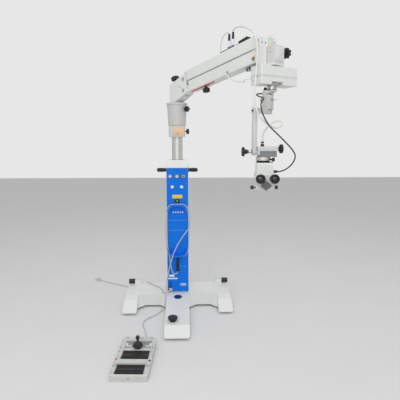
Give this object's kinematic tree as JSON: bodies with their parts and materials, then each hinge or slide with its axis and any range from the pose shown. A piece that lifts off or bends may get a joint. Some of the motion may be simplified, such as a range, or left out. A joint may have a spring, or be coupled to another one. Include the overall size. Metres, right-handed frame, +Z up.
{
  "type": "surgical microscope on floor stand",
  "caption": "Surgical microscope on a floor stand: column, spring-balanced parallelogram arm, lamp, slide unit, hanging binocular head and foot switch with its cable.",
  "frame": {"origin": "on the floor at the axis of the mast, the centre of the column", "axes": "+Z up, front leg and panel towards -Y, the arm's head towards +X and -Y"},
  "size_m": [1.449, 1.5832, 1.9049],
  "materials": {
    "white_paint": "satin powder coat",
    "grey_white_paint": "satin",
    "blue_panel": "satin",
    "light_grey_paint": "satin",
    "grey_paint": "satin",
    "steel": "turned",
    "bright_tube": "anodised",
    "brass_plate": "turned",
    "fork_steel": "plated",
    "caster_tread": "matte",
    "black_plastic": "fine grain",
    "cream_plastic": "gloss",
    "grey_plastic": "fine grain",
    "white_cord": "smooth jacket",
    "black_cord": "smooth jacket",
    "grey_cord": "smooth jacket"
  },
  "bodies": {
    "stand": {"base_casting": "white_paint", "column_shell": "grey_white_paint", "column_panel": "blue_panel", "column_cap": "white_paint", "mast_tube": "bright_tube", "panel_sockets": "black_plastic", "column_hardware": "black_plastic", "pedal_housing": "grey_plastic", "foot_cable_winding": "grey_cord", "foot_cable_run": "grey_cord", "mains_cord": "grey_cord", "mains_plug": "grey_plastic"},
    "caster_rear_left": {"caster_fork_rear_left": "fork_steel"},
    "wheel_rear_left": {"caster_wheel_rear_left": "caster_tread"},
    "caster_rear_right": {"caster_fork_rear_right": "fork_steel"},
    "wheel_rear_right": {"caster_wheel_rear_right": "caster_tread"},
    "caster_front_left": {"caster_fork_front_left": "fork_steel"},
    "wheel_front_left": {"caster_wheel_front_left": "caster_tread"},
    "caster_front_right": {"caster_fork_front_right": "fork_steel"},
    "wheel_front_right": {"caster_wheel_front_right": "caster_tread"},
    "brake_left": {"brake_lever_left": "black_plastic"},
    "brake_right": {"brake_lever_right": "black_plastic"},
    "parking_foot": {"parking_foot": "black_plastic"},
    "panel_knob_left": {"panel_knob_left": "cream_plastic"},
    "panel_knob_right": {"panel_knob_right": "cream_plastic"},
    "gimbal": {"joystick_gimbal": "fork_steel"},
    "joystick": {"joystick": "black_plastic"},
    "rocker_rear": {"rocker_rear": "black_plastic"},
    "rocker_front": {"rocker_front": "black_plastic"},
    "carrier": {"mast_collar": "light_grey_paint", "carrier_cup": "light_grey_paint"},
    "collar_knob": {"collar_knob": "black_plastic"},
    "cup_knob": {"cup_knob": "black_plastic"},
    "elbow": {"elbow_fork": "white_paint", "elbow_pins": "steel"},
    "elbow_knob": {"elbow_knob": "black_plastic"},
    "upper_arm": {"upper_link": "white_paint", "top_deck": "black_plastic", "light_guide": "white_cord"},
    "lower_arm": {"lower_link": "white_paint", "arm_loop_cable": "white_cord"},
    "arm_knob": {"arm_knob": "black_plastic"},
    "arm_head": {"arm_head": "white_paint", "head_pins": "brass_plate", "lamp_housing": "grey_white_paint"},
    "lamp_knob": {"lamp_knob": "black_plastic"},
    "slide_unit": {"xy_housing": "white_paint"},
    "carriage": {"xy_carriage": "white_paint"},
    "cross_slide": {"xy_cross_slide": "steel"},
    "hanger": {"hanger": "light_grey_paint", "camera_cable": "black_cord"},
    "focusing_block": {"focusing_block": "grey_white_paint"},
    "tilt_knob": {"tilt_knob": "black_plastic"},
    "focus_knob": {"focus_knob": "black_plastic"},
    "microscope": {"focus_carriage": "grey_paint", "scope_body": "white_paint", "binocular_tube": "grey_white_paint"},
    "pd_knob": {"pd_knob": "black_plastic"},
    "eyepiece_left": {"eyepiece_left": "black_plastic"},
    "eyepiece_right": {"eyepiece_right": "black_plastic"}
  },
  "joints": [
    {"name": "caster_swivel_rear_left", "type": "hinge", "parent": "stand", "child": "caster_rear_left", "pos_m": [-0.34, 0.075, 0.07], "axis": [0, 0, 1], "continuous": true},
    {"name": "wheel_roll_rear_left", "type": "hinge", "parent": "caster_rear_left", "child": "wheel_rear_left", "pos_m": [-0.34, 0.091, 0.024], "axis": [1, 0, 0], "continuous": true},
    {"name": "caster_swivel_rear_right", "type": "hinge", "parent": "stand", "child": "caster_rear_right", "pos_m": [0.34, 0.075, 0.07], "axis": [0, 0, 1], "continuous": true},
    {"name": "wheel_roll_rear_right", "type": "hinge", "parent": "caster_rear_right", "child": "wheel_rear_right", "pos_m": [0.34, 0.091, 0.024], "axis": [1, 0, 0], "continuous": true},
    {"name": "caster_swivel_front_left", "type": "hinge", "parent": "stand", "child": "caster_front_left", "pos_m": [-0.34, -0.15, 0.07], "axis": [0, 0, 1], "continuous": true},
    {"name": "wheel_roll_front_left", "type": "hinge", "parent": "caster_front_left", "child": "wheel_front_left", "pos_m": [-0.34, -0.134, 0.024], "axis": [1, 0, 0], "continuous": true},
    {"name": "caster_swivel_front_right", "type": "hinge", "parent": "stand", "child": "caster_front_right", "pos_m": [0.34, -0.15, 0.07], "axis": [0, 0, 1], "continuous": true},
    {"name": "wheel_roll_front_right", "type": "hinge", "parent": "caster_front_right", "child": "wheel_front_right", "pos_m": [0.34, -0.134, 0.024], "axis": [1, 0, 0], "continuous": true},
    {"name": "brake_left", "type": "hinge", "parent": "stand", "child": "brake_left", "pos_m": [-0.347, 0.10602, 0.113], "axis": [1, 0, 0], "range_deg": [-12, 12]},
    {"name": "brake_right", "type": "hinge", "parent": "stand", "child": "brake_right", "pos_m": [0.347, 0.10602, 0.113], "axis": [1, 0, 0], "range_deg": [-12, 12]},
    {"name": "parking_foot_lift", "type": "slide", "parent": "stand", "child": "parking_foot", "axis": [0, 0, 1], "range_m": [0, 0.01]},
    {"name": "panel_knob_left", "type": "hinge", "parent": "stand", "child": "panel_knob_left", "pos_m": [-0.05226, -0.083, 0.96766], "axis": [0, 1, 0], "range_deg": [-150, 150]},
    {"name": "panel_knob_right", "type": "hinge", "parent": "stand", "child": "panel_knob_right", "pos_m": [-0.00265, -0.083, 0.96766], "axis": [0, 1, 0], "range_deg": [-150, 150]},
    {"name": "joystick_forward", "type": "hinge", "parent": "stand", "child": "gimbal", "pos_m": [-0.21833, -0.83255, 0.03888], "axis": [0.9984, -0.0558, 0], "range_deg": [-12, 12], "stiffness_Nm_per_rad": 0.3},
    {"name": "joystick_side", "type": "hinge", "parent": "gimbal", "child": "joystick", "pos_m": [-0.21833, -0.83255, 0.03888], "axis": [0.0558, 0.9984, 0], "range_deg": [-12, 12], "stiffness_Nm_per_rad": 0.3},
    {"name": "rocker_rear_tilt", "type": "hinge", "parent": "stand", "child": "rocker_rear", "pos_m": [-0.22411, -0.90021, 0.03861], "axis": [0.9984, -0.0558, 0], "range_deg": [-4, 4], "stiffness_Nm_per_rad": 2},
    {"name": "rocker_front_tilt", "type": "hinge", "parent": "stand", "child": "rocker_front", "pos_m": [-0.23756, -1.03315, 0.03222], "axis": [0.9984, -0.0558, 0], "range_deg": [-4, 4], "stiffness_Nm_per_rad": 2},
    {"name": "carrier_height", "type": "slide", "parent": "stand", "child": "carrier", "axis": [0, 0, 1], "range_m": [-0.115, 0.03]},
    {"name": "collar_knob_turn", "type": "hinge", "parent": "carrier", "child": "collar_knob", "pos_m": [0.06, 0, 1.291], "axis": [1, 0, 0], "range_deg": [-180, 180]},
    {"name": "cup_knob_turn", "type": "hinge", "parent": "carrier", "child": "cup_knob", "pos_m": [0, 0, 1.44764], "axis": [0.766, -0.6428, 0], "range_deg": [-180, 180]},
    {"name": "arm_swivel", "type": "hinge", "parent": "carrier", "child": "elbow", "pos_m": [0, 0, 1.48], "axis": [0, 0, 1], "range_deg": [-150, 150]},
    {"name": "elbow_knob_turn", "type": "hinge", "parent": "elbow", "child": "elbow_knob", "pos_m": [-0.00201, 0.00239, 1.63154], "axis": [-0.2231, 0.2659, 0.9378], "range_deg": [-180, 180]},
    {"name": "arm_lift", "type": "hinge", "parent": "elbow", "child": "upper_arm", "pos_m": [0.07521, -0.08963, 1.646], "axis": [-0.766, -0.6428, 0], "range_deg": [-25, 15], "deforming": ["light_guide", "arm_loop_cable"]},
    {"name": "lower_arm_pivot", "type": "hinge", "parent": "elbow", "child": "lower_arm", "pos_m": [0.07521, -0.08963, 1.57], "axis": [-0.766, -0.6428, 0], "range_deg": [-25, 15], "deforming": ["arm_loop_cable"]},
    {"name": "arm_knob_turn", "type": "hinge", "parent": "lower_arm", "child": "arm_knob", "pos_m": [0.19801, -0.23598, 1.58134], "axis": [-0.1149, 0.137, 0.9839], "range_deg": [-180, 180]},
    {"name": "head_level", "type": "hinge", "parent": "upper_arm", "child": "arm_head", "pos_m": [0.48249, -0.57501, 1.76115], "axis": [-0.766, -0.6428, 0], "range_deg": [-15, 25], "deforming": ["light_guide", "arm_loop_cable"]},
    {"name": "lamp_knob_turn", "type": "hinge", "parent": "arm_head", "child": "lamp_knob", "pos_m": [0.60926, -0.65296, 1.70927], "axis": [0.766, 0.6428, 0], "range_deg": [-180, 180]},
    {"name": "slide_unit_swivel", "type": "hinge", "parent": "arm_head", "child": "slide_unit", "pos_m": [0.55088, -0.65652, 1.62515], "axis": [0, 0, 1], "range_deg": [-75, 75], "deforming": ["light_guide", "arm_loop_cable"]},
    {"name": "x_travel", "type": "slide", "parent": "slide_unit", "child": "carriage", "axis": [0.891, 0.454, 0], "range_m": [-0.02, 0.02], "deforming": ["light_guide", "arm_loop_cable"]},
    {"name": "y_travel", "type": "slide", "parent": "carriage", "child": "cross_slide", "axis": [0.454, -0.891, 0], "range_m": [-0.02, 0.02], "deforming": ["light_guide"]},
    {"name": "hanger_swivel", "type": "hinge", "parent": "cross_slide", "child": "hanger", "pos_m": [0.55088, -0.65652, 1.48115], "axis": [0, 0, 1], "range_deg": [-120, 120], "deforming": ["light_guide"]},
    {"name": "tilt", "type": "hinge", "parent": "hanger", "child": "focusing_block", "pos_m": [0.44532, -0.799, 1.15515], "axis": [1, 0, 0], "range_deg": [-90, 45], "deforming": ["light_guide", "camera_cable"]},
    {"name": "tilt_knob_turn", "type": "hinge", "parent": "hanger", "child": "tilt_knob", "pos_m": [0.40132, -0.799, 1.15515], "axis": [1, 0, 0], "range_deg": [-180, 180]},
    {"name": "focus_knob_turn", "type": "hinge", "parent": "focusing_block", "child": "focus_knob", "pos_m": [0.55332, -0.799, 1.17065], "axis": [1, 0, 0], "range_deg": [-180, 180]},
    {"name": "focus", "type": "slide", "parent": "focusing_block", "child": "microscope", "axis": [0, 1, 0], "range_m": [-0.0147, 0.0147], "deforming": ["camera_cable"]},
    {"name": "pd_knob_turn", "type": "hinge", "parent": "microscope", "child": "pd_knob", "pos_m": [0.48132, -0.874, 0.96745], "axis": [1, 0, 0], "range_deg": [-60, 60]},
    {"name": "eyepiece_left_turn", "type": "hinge", "parent": "microscope", "child": "eyepiece_left", "pos_m": [0.45032, -0.874, 1.00045], "axis": [0, 1, 0], "range_deg": [-12, 12]},
    {"name": "eyepiece_right_turn", "type": "hinge", "parent": "microscope", "child": "eyepiece_right", "pos_m": [0.51232, -0.874, 1.00045], "axis": [0, 1, 0], "range_deg": [-12, 12]}
  ],
  "couplings": [
    {"joint": "lower_arm_pivot", "follows": "arm_lift", "ratio": 1},
    {"joint": "head_level", "follows": "arm_lift", "ratio": -1},
    {"joint": "focus_knob_turn", "follows": "focus", "rad_per_m": 212},
    {"joint": "eyepiece_left_turn", "follows": "pd_knob_turn", "ratio": 0.2},
    {"joint": "eyepiece_right_turn", "follows": "pd_knob_turn", "ratio": -0.2}
  ]
}
